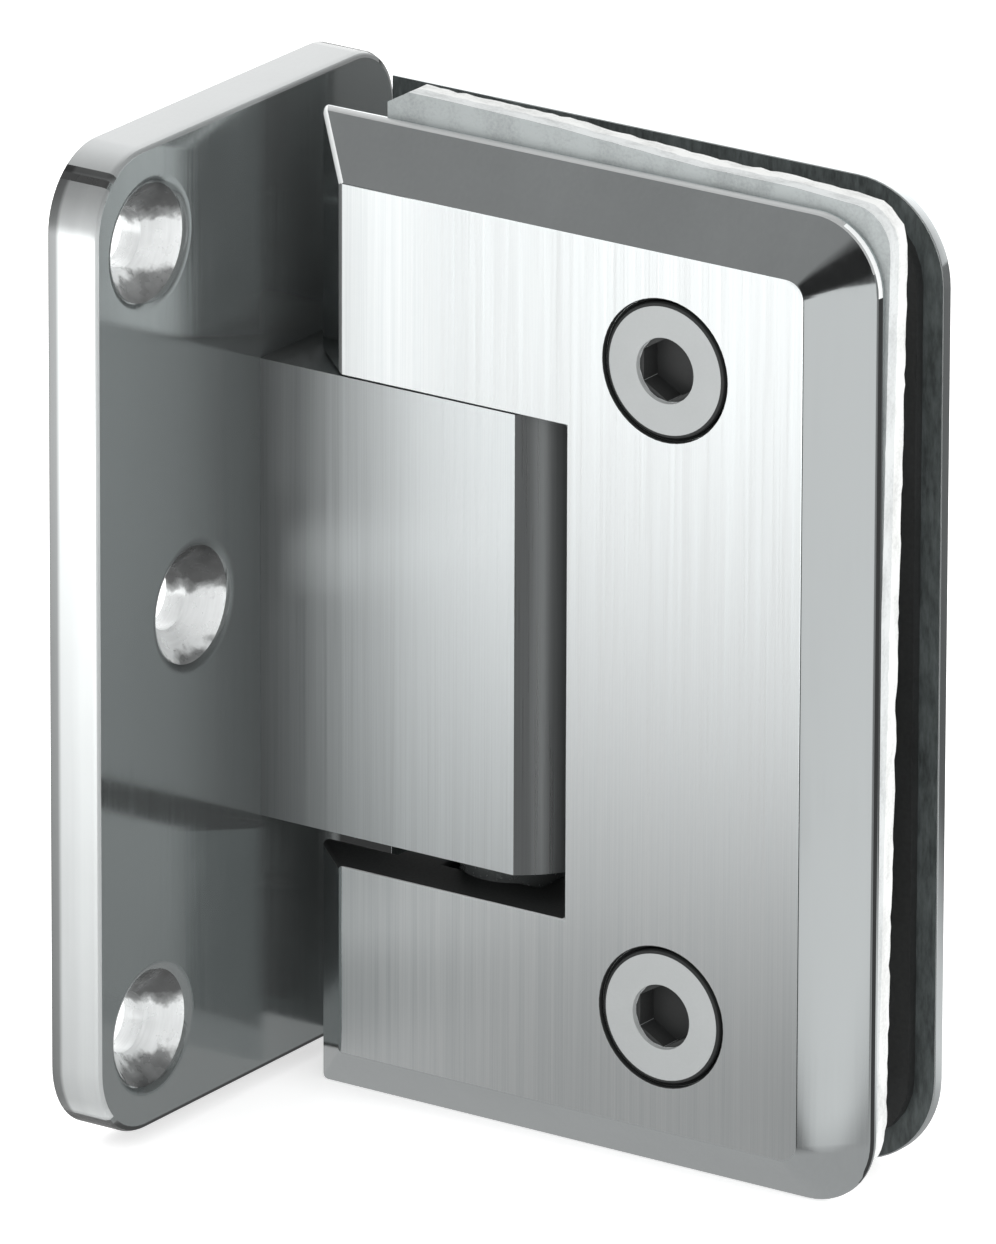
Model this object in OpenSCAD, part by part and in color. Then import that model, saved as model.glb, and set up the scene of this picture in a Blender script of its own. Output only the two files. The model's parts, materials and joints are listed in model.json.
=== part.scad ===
// Wall to glass hinge for a frameless shower door, with an offset wall plate.
// X = 0 is the wall, Y = 0 and Z = 0 are the pin axis and the middle of the wall plate.
// The front of the hinge faces -Y and the door stands out along +X.

/* [Wall plate] */
// Height of the wall plate
plate_h = 90; // [70:1:120]
// Width of the wall plate
plate_w = 44; // [38:0.5:60]
// Thickness of the wall plate
plate_t = 5; // [4:0.5:8]
// Distance that the plate reaches behind the pin axis
plate_rear = 10.2; // [9.5:0.1:16]
// Corner radius at the front of the wall plate
plate_front_r = 7; // [3:0.5:12]
// Corner radius at the rear of the wall plate
plate_rear_r = 6; // [3:0.5:12]

/* [Wall screw holes] */
// Through diameter of a wall screw hole
hole_d = 5.5; // [4:0.1:7]
// Diameter of the countersink at the face of the plate
sink_d = 11.4; // [9:0.1:13]
// Distance of the upper and lower hole from the front edge
hole_edge = 8.1; // [7:0.1:12]
// Distance of the upper and lower hole from the ends of the plate
hole_end = 9; // [7:0.1:20]
// Distance of the middle hole from the front edge
mid_hole_edge = 14.6; // [8:0.1:16]
// Distance of the middle hole above the middle of the plate
mid_hole_rise = 1.2; // [-2:0.1:2]

/* [Pivot block] */
// Height of the pivot block
block_h = 42.2; // [38:0.1:60]
// Thickness of the pivot block, front to back
block_t = 18.5; // [17.5:0.1:24]
// Distance of the pin axis from the face of the wall plate
pin_reach = 20.8; // [19:0.1:26]
// Radius of the nose, about the pin axis
nose_r = 11; // [10.4:0.1:11.1]

/* [Pivot pin] */
// Diameter of the pin
pin_d = 10; // [8:0.1:11]
// Depth of each of the four flats in the middle of the pin
flat_cut = 0.75; // [0.4:0.05:1.2]
// Height of the stretch with four flats
flat_h = 24; // [22:0.5:26]
// Thickness of the tongue at each end of the pin
tongue_t = 7.5; // [6:0.1:8]
// Distance that the tongue stands above the front of its seat
tongue_proud = 0.15; // [0.05:0.05:0.3]
// Length of pin that each ear holds
pin_grip = 7.6; // [6:0.1:10]

/* [Bushes] */
// Wall thickness of a bush
bush_wall = 1.5; // [1:0.1:2]
// Length of a bush
bush_l = 9.4; // [6:0.1:9.8]
// Diameter of the flange of a bush
flange_d = 16; // [14.5:0.1:17]
// Thickness of the flange of a bush
flange_t = 1.2; // [0.8:0.1:2]

/* [Spring plungers] */
// Diameter of a plunger
plunger_d = 7.9; // [6:0.1:8]
// Length of a plunger
plunger_l = 6; // [5:0.1:8]
// Bore of the plunger cup that takes the spring
cup_d = 5.3; // [4.5:0.1:5.6]
// Depth of the plunger cup
cup_depth = 4; // [2:0.1:4.5]
// Distance of each plunger from the middle of the block
plunger_rise = 6.5; // [5:0.1:7]
// Thickness of the plug behind each spring
plug_t = 3; // [2:0.1:4]
// Width of the slot in a plug
slot_w = 1.2; // [0.8:0.1:1.6]
// Depth of the slot in a plug
slot_depth = 1.2; // [0.8:0.1:1.6]
// Wire diameter of a spring
wire_d = 0.7; // [0.4:0.05:0.9]
// Outside diameter of a spring
spring_d = 4.9; // [4:0.1:5.1]
// Turns of a spring
spring_turns = 6; // [4:1:9]

/* [Block screws] */
// Thread diameter of a screw between wall plate and block
block_screw_d = 6; // [5:0.5:6]
// Head diameter of that screw
block_screw_head_d = 10.6; // [9:0.1:11]
// Length of that screw
block_screw_l = 14; // [12:0.5:16]
// Distance of that screw from the middle of the block
block_screw_rise = 16; // [15:0.1:17]
// Width across the flats of the hex socket of that screw
block_socket_w = 4; // [3:0.5:5]
// Depth of the hex socket of that screw
block_socket_depth = 2.6; // [2:0.1:3]
// Room past the tip of that screw
block_tap_room = 2; // [0.5:0.5:3]

/* [Clamp plates] */
// Width of the front clamp plate
clamp_w = 57.8; // [52:0.1:70]
// Height of the clamp plates
clamp_h = 90; // [84:1:120]
// Gap between the wall plate and the front clamp plate
ear_gap = 3.45; // [3:0.05:6]
// Width of the bevel, seen from the front
bevel_w = 4.9; // [3:0.1:5.5]
// Depth of the bevel
bevel_d = 4.5; // [2:0.1:5]
// Thickness of the front plate beside its bevel
front_land = 0.9; // [0.6:0.1:2]
// Thickness of the back plate beside its bevel
back_land = 1.1; // [0.6:0.1:3]
// Radius of the outer corners of the front plate on the door side
front_r = 6.6; // [6:0.1:12]
// Radius of the outer corners of the back plate on the door side
back_r = 8.9; // [6:0.1:12]
// Gap between the top of the pivot block and the notch
top_gap = 0.1; // [0.1:0.05:4]
// Gap between the bottom of the pivot block and the notch
bottom_gap = 2.95; // [0.1:0.05:4]
// Gap between the nose of the block and the notch
nose_gap = 0.35; // [0.3:0.05:1]
// Width that the back plate is narrower at each side
back_inset = 0.4; // [0:0.1:2]

/* [Gaskets and glass gap] */
// Thickness of the pale front gasket
front_gasket_t = 2.8; // [0.8:0.1:3]
// Thickness of the dark back gasket
back_gasket_t = 1; // [0.5:0.1:1.5]
// Clear gap between the two gaskets
glass_gap = 5.85; // [5:0.05:12]
// Distance that the pale gasket stands proud at its upper left end
proud_left = 2.5; // [0:0.1:3]
// Distance that the pale gasket stands proud at its upper right corner
proud_top = 0.8; // [0:0.1:3]
// Distance that the pale gasket stands proud beside that corner
proud_right = 0.4; // [0:0.1:1.5]
// Distance that the pale gasket falls short at its lower right corner
short_right = 0.9; // [0:0.1:2]
// Width of the ear that the pale gasket leaves bare
gasket_start = 6.2; // [3:0.1:7]
// Length of the sloping cut at the upper left end of the pale gasket
slope_w = 2.2; // [0.5:0.1:4]
// Radius of the upper right corner of the pale gasket
upper_gasket_r = 3.5; // [2:0.1:8]
// Radius of the lower right corner of the pale gasket
lower_gasket_r = 6; // [2:0.1:8]
// Width of the back plate that the dark gasket leaves bare at its left end
back_gasket_start = 3.6; // [1:0.1:7]
// Width of the back plate that the dark gasket leaves bare at its other edges
back_gasket_inset = 2.1; // [0:0.1:3]
// Room round the pin seats in both gaskets
seat_room = 1; // [0.5:0.1:2]

/* [Clamp screws] */
// Thread diameter of a clamp screw
clamp_screw_d = 6; // [5:0.5:6]
// Head diameter of a clamp screw
clamp_head_d = 12.2; // [11:0.1:13]
// Edge height of a clamp screw head
head_edge = 0.5; // [0.3:0.1:0.8]
// Gap round a clamp screw head
head_gap = 0.3; // [0.2:0.05:0.5]
// Width across the flats of the hex socket
socket_w = 5; // [4:0.5:5.5]
// Depth of the hex socket
socket_depth = 2.6; // [2:0.1:3]
// Diameter of the round mouth of the socket
mouth_d = 5.9; // [5.8:0.1:6.6]
// Depth of the round mouth of the socket
mouth_depth = 0.5; // [0.2:0.1:1]
// Length of a clamp screw
clamp_screw_l = 18; // [16:1:20]
// Room between the tip of a clamp screw and the end of its hole
blind_room = 0.8; // [0.4:0.1:2]
// Distance of the clamp screws from the left edge of the clamp
clamp_screw_in = 38.8; // [37:0.1:42]
// Distance of each clamp screw from the nearer end of the clamp
clamp_screw_end = 15.5; // [11:0.1:17]
// Diameter of the tapped boss round each clamp screw
boss_d = 11; // [9:0.1:12]
// Wall thickness of the sleeve for the hole in the glass
sleeve_wall = 2; // [1:0.1:3]

/* [Pin seats] */
// Width of the seat for the pin in each ear
seat_w = 20; // [18:0.1:21]
// Height of the seat for the pin
seat_h = 8.8; // [8:0.1:11]
// Thickness of the cap that holds the pin in its seat
cap_t = 2.5; // [2:0.1:2.8]
// Thread diameter of a cap screw
cap_screw_d = 3; // [2:0.5:3]
// Head diameter of a cap screw
cap_head_d = 4.8; // [4:0.1:5]
// Length of a cap screw
cap_screw_l = 6.5; // [5:0.5:7]
// Width across the flats of the hex socket of a cap screw
cap_socket_w = 2; // [1.5:0.5:2.5]
// Depth of the hex socket of a cap screw
cap_socket_depth = 1; // [0.6:0.1:1.4]

/* [Fits] */
// Radial clearance of a turning or sliding fit
running = 0.04; // [0.02:0.01:0.08]
// Clearance between pieces that only pass each other
loose = 0.3; // [0.2:0.05:0.5]
// Clearance between pieces that are held together
seat = 0.02; // [0.01:0.01:0.04]

/* [Hidden] */
$fn = 64;
// Overlap that a cut reaches past a face
eps = 0.1;
// Steps of a spring in one turn
coil_steps = 14;
// Sides of the wire of a spring
wire_sides = 6;
// Steps of a rounded gasket corner
arc_steps = 6;
pin_x = plate_t + pin_reach;
plate_front_y = plate_rear - plate_w;
hole_rise = plate_h / 2 - hole_end;
// Clamp plates
notch_h = block_h + top_gap + bottom_gap;
clamp_drop = (bottom_gap - top_gap) / 2;
clamp_x = plate_t + ear_gap;
front_y = -block_t / 2;
front_t = bevel_d + front_land;
front_inner_y = front_y + front_t;
back_t = bevel_d + back_land;
back_inner_y = front_inner_y + front_gasket_t + glass_gap + back_gasket_t;
back_y = back_inner_y + back_t;
notch_x = pin_x + nose_r + nose_gap;
clamp_screw_x = clamp_x + clamp_screw_in;
clamp_screw_rise = clamp_h / 2 - clamp_screw_end;
// Pin and seats
bore_d = pin_d + 2 * bush_wall;
pin_half = notch_h / 2 + pin_grip;
seat_back_y = tongue_t / 2 - tongue_proud;
cap_y = tongue_t / 2 + seat;
cap_screw_x = (seat_w + pin_d) / 4;
cap_screw_z = notch_h / 2 + seat_h / 2;
pocket_y = cap_y + cap_t + loose;
// Plungers and springs
plunger_tip_x = pin_x - pin_d / 2 - running;
plunger_back_x = plunger_tip_x - plunger_l;
plug_x = plate_t + loose;
spring_x0 = plug_x + plug_t;
spring_x1 = plunger_back_x + cup_depth;
// Clamp screws
boss_y = front_inner_y + front_gasket_t + loose;
blind_y = front_y + clamp_screw_l + blind_room;
sleeve_y0 = front_inner_y + front_gasket_t + loose / 2;
sleeve_y1 = back_inner_y - back_gasket_t - seat;
gasket_hole_d = boss_d + 2 * loose;

// Cylinder along +Y that starts at y
module rod_y(x, y, z, l, d, d2 = -1) {
  translate([x, y, z]) rotate([-90, 0, 0]) cylinder(h = l, d1 = d, d2 = d2 < 0 ? d : d2);
}

// Cylinder along +X that starts at x
module rod_x(x, y, z, l, d, d2 = -1) {
  translate([x, y, z]) rotate([0, 90, 0]) cylinder(h = l, d1 = d, d2 = d2 < 0 ? d : d2);
}

// Outline of the wall plate in its own plane, with Y to the right and Z up
module plate_outline() {
  half = plate_h / 2;
  union() {
    translate([plate_front_y + plate_front_r, -half])
      square([plate_w - plate_front_r - plate_rear_r, plate_h]);
    translate([plate_front_y, -half + plate_front_r])
      square([plate_front_r + eps, plate_h - 2 * plate_front_r]);
    translate([plate_rear - plate_rear_r - eps, -half + plate_rear_r])
      square([plate_rear_r + eps, plate_h - 2 * plate_rear_r]);
    for (s = [-1, 1]) {
      translate([plate_front_y + plate_front_r, s * (half - plate_front_r)]) circle(r = plate_front_r);
      translate([plate_rear - plate_rear_r, s * (half - plate_rear_r)]) circle(r = plate_rear_r);
    }
  }
}

// Hole for a countersunk wall screw, seen from the room side
module wall_hole(y, z) {
  sink = (sink_d - hole_d) / 2;
  rod_x(-eps, y, z, plate_t + 2 * eps, hole_d);
  rod_x(plate_t - sink, y, z, sink + eps, hole_d, sink_d + 2 * eps);
}

// Hole for a screw that enters from the wall side
module block_screw_hole(z) {
  sink = (block_screw_head_d - block_screw_d) / 2;
  rod_x(-eps, 0, z, plate_t + 2 * eps, block_screw_d + 2 * loose);
  rod_x(-eps, 0, z, sink + eps + loose, block_screw_head_d + 2 * eps + 2 * loose, block_screw_d);
}

module wall_plate() {
  color("lightgray") difference() {
    rotate([90, 0, 90]) linear_extrude(height = plate_t) plate_outline();
    for (s = [-1, 1]) {
      wall_hole(plate_front_y + hole_edge, s * hole_rise);
      block_screw_hole(s * block_screw_rise);
    }
    wall_hole(plate_front_y + mid_hole_edge, mid_hole_rise);
  }
}

// Plan of the pivot block: a slab that ends in an arc about the pin axis
module block_plan() {
  intersection() {
    translate([plate_t, -block_t / 2]) square([pin_reach + nose_r, block_t]);
    union() {
      translate([plate_t, -block_t]) square([pin_reach, 2 * block_t]);
      translate([pin_x, 0]) circle(r = nose_r, $fn = 96);
    }
  }
}

module pivot_block() {
  color("silver") difference() {
    translate([0, 0, -block_h / 2]) linear_extrude(height = block_h) block_plan();
    translate([pin_x, 0, -block_h / 2 - eps]) cylinder(h = block_h + 2 * eps, d = bore_d);
    for (s = [-1, 1]) {
      translate([pin_x, 0, s * (block_h / 2 - flange_t / 2 + eps / 2)])
        cylinder(h = flange_t + eps, d = flange_d + 2 * seat, center = true);
      rod_x(plate_t - eps, 0, s * plunger_rise, pin_reach, plunger_d + 2 * running);
      rod_x(plate_t - eps, 0, s * block_screw_rise, block_screw_l - plate_t + block_tap_room,
        block_screw_d + 2 * seat);
    }
  }
}

// Countersunk socket screw along +X, with its head at the wall
module block_screw(z) {
  head = (block_screw_head_d - block_screw_d) / 2;
  color("gray") difference() {
    union() {
      rod_x(loose, 0, z, head, block_screw_head_d, block_screw_d);
      rod_x(loose + head - eps, 0, z, block_screw_l - head + eps, block_screw_d);
    }
    translate([0, 0, z]) rotate([0, 90, 0])
      cylinder(h = block_socket_depth + loose, d = block_socket_w / cos(30), $fn = 6);
  }
}

// Flanged bush, with the flange at the outer end of the block; side is 1 above, -1 below
module bush(side) {
  color("goldenrod") translate([pin_x, 0, side * block_h / 2]) mirror([0, 0, side > 0 ? 1 : 0])
    difference() {
      union() {
        cylinder(h = bush_l, d = bore_d - 2 * seat);
        cylinder(h = flange_t - seat, d = flange_d);
      }
      translate([0, 0, -eps]) cylinder(h = bush_l + 2 * eps, d = pin_d + 2 * running);
    }
}

// Round pin with four flats in the middle and a tongue at each end
module pivot_pin() {
  color("dimgray") translate([pin_x, 0, -clamp_drop]) difference() {
    translate([0, 0, -pin_half]) cylinder(h = 2 * pin_half, d = pin_d);
    for (a = [0:90:270])
      rotate([0, 0, a]) translate([pin_d / 2 - flat_cut, -pin_d, -flat_h / 2])
        cube([pin_d, 2 * pin_d, flat_h]);
    for (s = [-1, 1], f = [-1, 1])
      translate([0, f * (tongue_t + pin_d) / 2, s * (pin_half - (pin_grip - eps) / 2)])
        cube([2 * pin_d, pin_d, pin_grip + eps], center = true);
  }
}

// Cup that the spring presses against a flat of the pin
module plunger(side) {
  z = side * plunger_rise;
  color("darkgray") difference() {
    rod_x(plunger_back_x, 0, z, plunger_l, plunger_d);
    rod_x(plunger_back_x - eps, 0, z, cup_depth + eps, cup_d);
  }
}

// Coil spring along X, swept as rings of points about the wire
module spring(side) {
  steps = coil_steps * spring_turns;
  sides = wire_sides;
  wire_r = wire_d / 2;
  coil_r = (spring_d - wire_d) / 2;
  x0 = spring_x0 + wire_r + seat;
  travel = spring_x1 - spring_x0 - wire_d - 2 * seat;
  slope = travel / (2 * PI * coil_r * spring_turns);
  long = sqrt(1 + slope * slope);
  points = [
    for (i = [0:steps], k = [0:sides - 1])
      let (a = 360 * spring_turns * i / steps, b = 360 * k / sides,
        out = coil_r + wire_r * cos(b), over = wire_r * sin(b))
      [x0 + travel * i / steps + over / long,
        out * cos(a) + over * sin(a) * slope / long,
        out * sin(a) - over * cos(a) * slope / long]];
  walls = [
    for (i = [0:steps - 1], k = [0:sides - 1])
      let (p = i * sides + k, q = i * sides + (k + 1) % sides)
      each [[p, q, p + sides], [q, q + sides, p + sides]]];
  ends = [[for (k = [sides - 1:-1:0]) k], [for (k = [0:sides - 1]) steps * sides + k]];
  color("dimgray") translate([0, 0, side * plunger_rise])
    polyhedron(points = points, faces = concat(walls, ends), convexity = 10);
}

// Threaded plug with a slot, which closes the bore behind a spring
module spring_plug(side) {
  z = side * plunger_rise;
  color("gray") difference() {
    rod_x(plug_x, 0, z, plug_t, plunger_d + 2 * running - 2 * seat);
    translate([plug_x - eps, -slot_w / 2, z - plunger_d]) cube([slot_depth + eps, slot_w, 2 * plunger_d]);
  }
}

// Clamp plate with a bevelled rim, from its bevelled face at Y = 0 to its flat face at Y = t.
// The corners at the far end of X are round, those at X = 0 are mitred.
module bevelled_plate(w, h, t, bw, bd, r) {
  profile_x = [[0, bd], [bw, 0], [w - bw, 0], [w, bd], [w, t], [0, t]];
  profile_z = [[-h / 2, bd], [-h / 2 + bw, 0], [h / 2 - bw, 0], [h / 2, bd], [h / 2, t], [-h / 2, t]];
  corner = [[0, 0], [r - bw, 0], [r, bd], [r, t], [0, t]];
  union() {
    difference() {
      intersection() {
        translate([0, 0, -h / 2 - eps]) linear_extrude(height = h + 2 * eps) polygon(profile_x);
        translate([-eps, 0, 0]) rotate([90, 0, 90])
          linear_extrude(height = w + 2 * eps) polygon([for (p = profile_z) [p[1], p[0]]]);
      }
      for (s = [-1, 1])
        translate([w - r, -eps, s > 0 ? h / 2 - r : -h / 2 - eps]) cube([r + eps, t + 2 * eps, r + eps]);
    }
    for (s = [-1, 1])
      translate([w - r, 0, s * (h / 2 - r)]) rotate([-90, 0, 0])
        rotate([0, 0, s > 0 ? -90 : 0]) rotate_extrude(angle = 90) polygon(corner);
  }
}

// Notch through a clamp plate or gasket, open towards the wall
module notch_cut(x_end, half_h) {
  translate([0, front_y - eps, -clamp_drop - half_h])
    cube([x_end, back_y - front_y + 2 * eps, 2 * half_h]);
}

// Seat for one end of the pin, behind an ear of the front plate; side is 1 above, -1 below
module pin_seat(side) {
  z0 = side > 0 ? notch_h / 2 : -notch_h / 2 - seat_h;
  slot_z = side > 0 ? z0 - eps : z0 + seat_h - pin_grip - seat;
  tap_y = seat_back_y - cap_screw_l + cap_t;
  difference() {
    translate([pin_x - seat_w / 2, front_inner_y - eps, z0])
      cube([seat_w, seat_back_y - front_inner_y + eps, seat_h]);
    translate([pin_x - pin_d / 2 - seat, -tongue_t / 2 - seat, slot_z])
      cube([pin_d + 2 * seat, tongue_t + pin_d, pin_grip + seat + eps]);
    for (s = [-1, 1])
      rod_y(pin_x + s * cap_screw_x, tap_y, side * cap_screw_z, cap_screw_l, cap_screw_d + 2 * seat);
  }
}

// Recess for the countersunk head of a clamp screw, with its through hole
module clamp_screw_recess(z) {
  wide = clamp_head_d + 2 * head_gap;
  narrow = clamp_screw_d + 2 * loose;
  drop = (clamp_head_d - clamp_screw_d) / 2;
  rod_y(clamp_screw_x, front_y - eps, z, head_edge + eps + seat, wide);
  rod_y(clamp_screw_x, front_y + head_edge, z, drop, wide, narrow);
  rod_y(clamp_screw_x, front_y, z, front_t + eps, narrow);
}

module front_clamp_plate() {
  color("silver") difference() {
    union() {
      translate([clamp_x, front_y, -clamp_drop])
        bevelled_plate(clamp_w, clamp_h, front_t, bevel_w, bevel_d, front_r);
      translate([0, 0, -clamp_drop]) for (side = [-1, 1]) pin_seat(side);
    }
    notch_cut(notch_x, notch_h / 2);
    for (s = [-1, 1]) clamp_screw_recess(s * clamp_screw_rise - clamp_drop);
  }
}

// Tapped boss of the back plate, which reaches into the hole of the glass
module back_boss(z) {
  rod_y(clamp_screw_x, boss_y, z, back_inner_y - boss_y + eps, boss_d);
}

module back_clamp_plate() {
  w = clamp_w - 2 * back_inset;
  color("darkgray") difference() {
    union() {
      translate([clamp_x + back_inset, back_y, -clamp_drop]) mirror([0, 1, 0])
        bevelled_plate(w, clamp_h, back_t, bevel_w, bevel_d, back_r);
      for (s = [-1, 1]) back_boss(s * clamp_screw_rise - clamp_drop);
    }
    notch_cut(notch_x, notch_h / 2);
    translate([pin_x - seat_w / 2 - loose, back_inner_y - eps, -clamp_drop - notch_h / 2 - seat_h - loose])
      cube([seat_w + 2 * loose, pocket_y - back_inner_y + eps, notch_h + 2 * seat_h + 2 * loose]);
    for (s = [-1, 1])
      rod_y(clamp_screw_x, boss_y - eps, s * clamp_screw_rise - clamp_drop,
        blind_y - boss_y + eps, clamp_screw_d + 2 * running);
  }
}

// Points of an arc about (x, z) from angle a0 to angle a1
function corner_arc(x, z, r, a0, a1) = [
  for (i = [0:arc_steps])
    let (a = a0 + (a1 - a0) * i / arc_steps)
    [x + r * cos(a), z + r * sin(a)]];

// Sheet with the outline of the clamp, cut out round the pin seats and bored for the screws
module gasket_sheet(points, y, t) {
  reach = notch_h / 2 + seat_h + seat_room;
  difference() {
    translate([0, y + t, -clamp_drop]) rotate([90, 0, 0]) linear_extrude(height = t) polygon(points);
    notch_cut(notch_x + seat_room, reach);
    for (s = [-1, 1])
      rod_y(clamp_screw_x, y - eps, s * clamp_screw_rise - clamp_drop, t + 2 * eps, gasket_hole_d);
  }
}

// Pale gasket, trimmed by hand: proud above the plate and tapering in at the lower right
module front_gasket() {
  half = clamp_h / 2;
  left = clamp_x + gasket_start;
  upper_right = clamp_x + clamp_w + proud_right;
  lower_right = clamp_x + clamp_w - short_right;
  points = concat(
    [[left, -half + short_right], [left, half + proud_left / 2], [left + slope_w, half + proud_left],
      [clamp_screw_x, half + proud_top]],
    corner_arc(upper_right - upper_gasket_r, half + proud_top - upper_gasket_r, upper_gasket_r, 90, 0),
    corner_arc(lower_right - lower_gasket_r, -half + short_right + lower_gasket_r, lower_gasket_r, 0, -90));
  color("whitesmoke") gasket_sheet(points, front_inner_y, front_gasket_t);
}

module back_gasket() {
  half = clamp_h / 2 - back_gasket_inset;
  left = clamp_x + back_inset + back_gasket_start;
  right = clamp_x + clamp_w - back_inset - back_gasket_inset;
  r = back_r - back_gasket_inset;
  points = concat(
    [[left, -half], [left, half]],
    corner_arc(right - r, half - r, r, 90, 0),
    corner_arc(right - r, -half + r, r, 0, -90));
  color("black") gasket_sheet(points, back_inner_y - back_gasket_t, back_gasket_t);
}

// Countersunk socket screw along +Y, flush with the front face
module clamp_screw(side) {
  z = side * clamp_screw_rise - clamp_drop;
  drop = (clamp_head_d - clamp_screw_d) / 2;
  color("silver") difference() {
    union() {
      rod_y(clamp_screw_x, front_y, z, head_edge, clamp_head_d);
      rod_y(clamp_screw_x, front_y + head_edge, z, drop, clamp_head_d, clamp_screw_d);
      rod_y(clamp_screw_x, front_y + head_edge, z, clamp_screw_l - head_edge, clamp_screw_d);
    }
    rod_y(clamp_screw_x, front_y - eps, z, mouth_depth + eps, mouth_d);
    translate([clamp_screw_x, front_y - eps, z]) rotate([-90, 30, 0])
      cylinder(h = socket_depth + eps, d = socket_w / cos(30), $fn = 6);
  }
}

// Cap that holds one end of the pin in its seat
module pin_cap(side) {
  z0 = side > 0 ? notch_h / 2 + loose / 2 : -notch_h / 2 - seat_h;
  sink = (cap_head_d - cap_screw_d) / 2;
  color("gray") translate([0, 0, -clamp_drop]) difference() {
    translate([pin_x - seat_w / 2, cap_y, z0]) cube([seat_w, cap_t, seat_h - loose / 2]);
    for (s = [-1, 1]) {
      x = pin_x + s * cap_screw_x;
      rod_y(x, cap_y - eps, side * cap_screw_z, cap_t + 2 * eps, cap_screw_d + 2 * seat);
      rod_y(x, cap_y + cap_t - sink - seat, side * cap_screw_z,
        sink + eps + seat, cap_screw_d, cap_head_d + 2 * eps + 2 * seat);
    }
  }
}

// The two countersunk screws of one cap
module cap_screws(side) {
  sink = (cap_head_d - cap_screw_d) / 2;
  tip_y = cap_y + cap_t - cap_screw_l;
  color("dimgray") translate([0, 0, -clamp_drop]) for (s = [-1, 1]) difference() {
    union() {
      rod_y(pin_x + s * cap_screw_x, tip_y, side * cap_screw_z, cap_screw_l - sink + eps, cap_screw_d);
      rod_y(pin_x + s * cap_screw_x, tip_y + cap_screw_l - sink, side * cap_screw_z,
        sink, cap_screw_d, cap_head_d);
    }
    translate([pin_x + s * cap_screw_x, cap_y + cap_t - cap_socket_depth, side * cap_screw_z])
      rotate([-90, 0, 0]) cylinder(h = cap_socket_depth + eps, d = cap_socket_w / cos(30), $fn = 6);
  }
}

// Sleeve that centres a tapped boss in the hole of the glass
module sleeve(side) {
  z = side * clamp_screw_rise - clamp_drop;
  l = sleeve_y1 - sleeve_y0;
  color("ivory") difference() {
    rod_y(clamp_screw_x, sleeve_y0, z, l, boss_d + 2 * sleeve_wall);
    rod_y(clamp_screw_x, sleeve_y0 - eps, z, l + 2 * eps, boss_d + 2 * running);
  }
}

wall_plate();
pivot_block();
block_screw(block_screw_rise);  // upper_block_screw
block_screw(-block_screw_rise);  // lower_block_screw
bush(1);  // upper_bush
bush(-1);  // lower_bush
pivot_pin();
plunger(1);  // upper_plunger
plunger(-1);  // lower_plunger
spring(1);  // upper_spring
spring(-1);  // lower_spring
spring_plug(1);  // upper_spring_plug
spring_plug(-1);  // lower_spring_plug
front_clamp_plate();
back_clamp_plate();
front_gasket();
back_gasket();
clamp_screw(1);  // upper_clamp_screw
clamp_screw(-1);  // lower_clamp_screw
pin_cap(1);  // upper_pin_cap
pin_cap(-1);  // lower_pin_cap
cap_screws(1);  // upper_cap_screws
cap_screws(-1);  // lower_cap_screws
sleeve(1);  // upper_sleeve
sleeve(-1);  // lower_sleeve
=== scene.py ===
"""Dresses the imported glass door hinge: eased steel edges, brushed and polished faces, hand-trimmed
gaskets, and a pale studio round it. Runs as a script, laid out as an add-on."""

import json
import math

import bmesh
import bpy
from bpy.props import FloatProperty, FloatVectorProperty, IntProperty, PointerProperty
from mathutils import Matrix, Vector, noise

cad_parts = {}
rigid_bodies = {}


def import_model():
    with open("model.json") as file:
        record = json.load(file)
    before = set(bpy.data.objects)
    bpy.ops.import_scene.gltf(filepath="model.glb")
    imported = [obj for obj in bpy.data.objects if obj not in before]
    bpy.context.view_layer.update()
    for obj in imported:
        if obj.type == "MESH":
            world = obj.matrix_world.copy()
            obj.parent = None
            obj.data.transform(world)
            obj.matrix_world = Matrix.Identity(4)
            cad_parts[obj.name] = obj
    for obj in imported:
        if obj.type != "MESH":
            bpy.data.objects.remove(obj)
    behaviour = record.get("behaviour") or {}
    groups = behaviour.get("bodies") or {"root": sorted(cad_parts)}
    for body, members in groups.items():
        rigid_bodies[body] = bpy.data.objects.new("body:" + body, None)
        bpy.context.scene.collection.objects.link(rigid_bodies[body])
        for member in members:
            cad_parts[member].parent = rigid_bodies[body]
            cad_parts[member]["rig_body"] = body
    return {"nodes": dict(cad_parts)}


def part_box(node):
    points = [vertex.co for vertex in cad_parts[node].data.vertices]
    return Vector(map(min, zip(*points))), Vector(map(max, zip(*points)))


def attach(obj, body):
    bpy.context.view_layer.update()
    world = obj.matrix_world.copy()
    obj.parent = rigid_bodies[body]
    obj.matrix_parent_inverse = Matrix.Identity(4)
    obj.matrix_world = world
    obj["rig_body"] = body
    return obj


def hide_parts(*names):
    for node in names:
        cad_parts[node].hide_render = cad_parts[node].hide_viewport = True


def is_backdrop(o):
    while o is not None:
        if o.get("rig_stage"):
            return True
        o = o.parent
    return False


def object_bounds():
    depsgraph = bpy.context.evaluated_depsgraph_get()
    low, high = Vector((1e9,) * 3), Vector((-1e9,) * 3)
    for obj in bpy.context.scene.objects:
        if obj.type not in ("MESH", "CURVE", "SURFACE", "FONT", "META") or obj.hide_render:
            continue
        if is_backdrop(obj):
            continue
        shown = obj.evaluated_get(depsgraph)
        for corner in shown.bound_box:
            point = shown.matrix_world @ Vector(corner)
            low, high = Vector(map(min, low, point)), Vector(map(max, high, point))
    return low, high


bl_info = {
    "name": "Glass Door Hinge",
    "version": (1, 0, 0),
    "blender": (4, 5, 0),
    "location": "3D View > Sidebar > Hinge",
    "description": "Dresses a wall-to-glass door hinge and sets it in a pale studio",
    "category": "Object",
}

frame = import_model()
CAD_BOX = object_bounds()
NODES = frame["nodes"]

MM = 0.001

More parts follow.
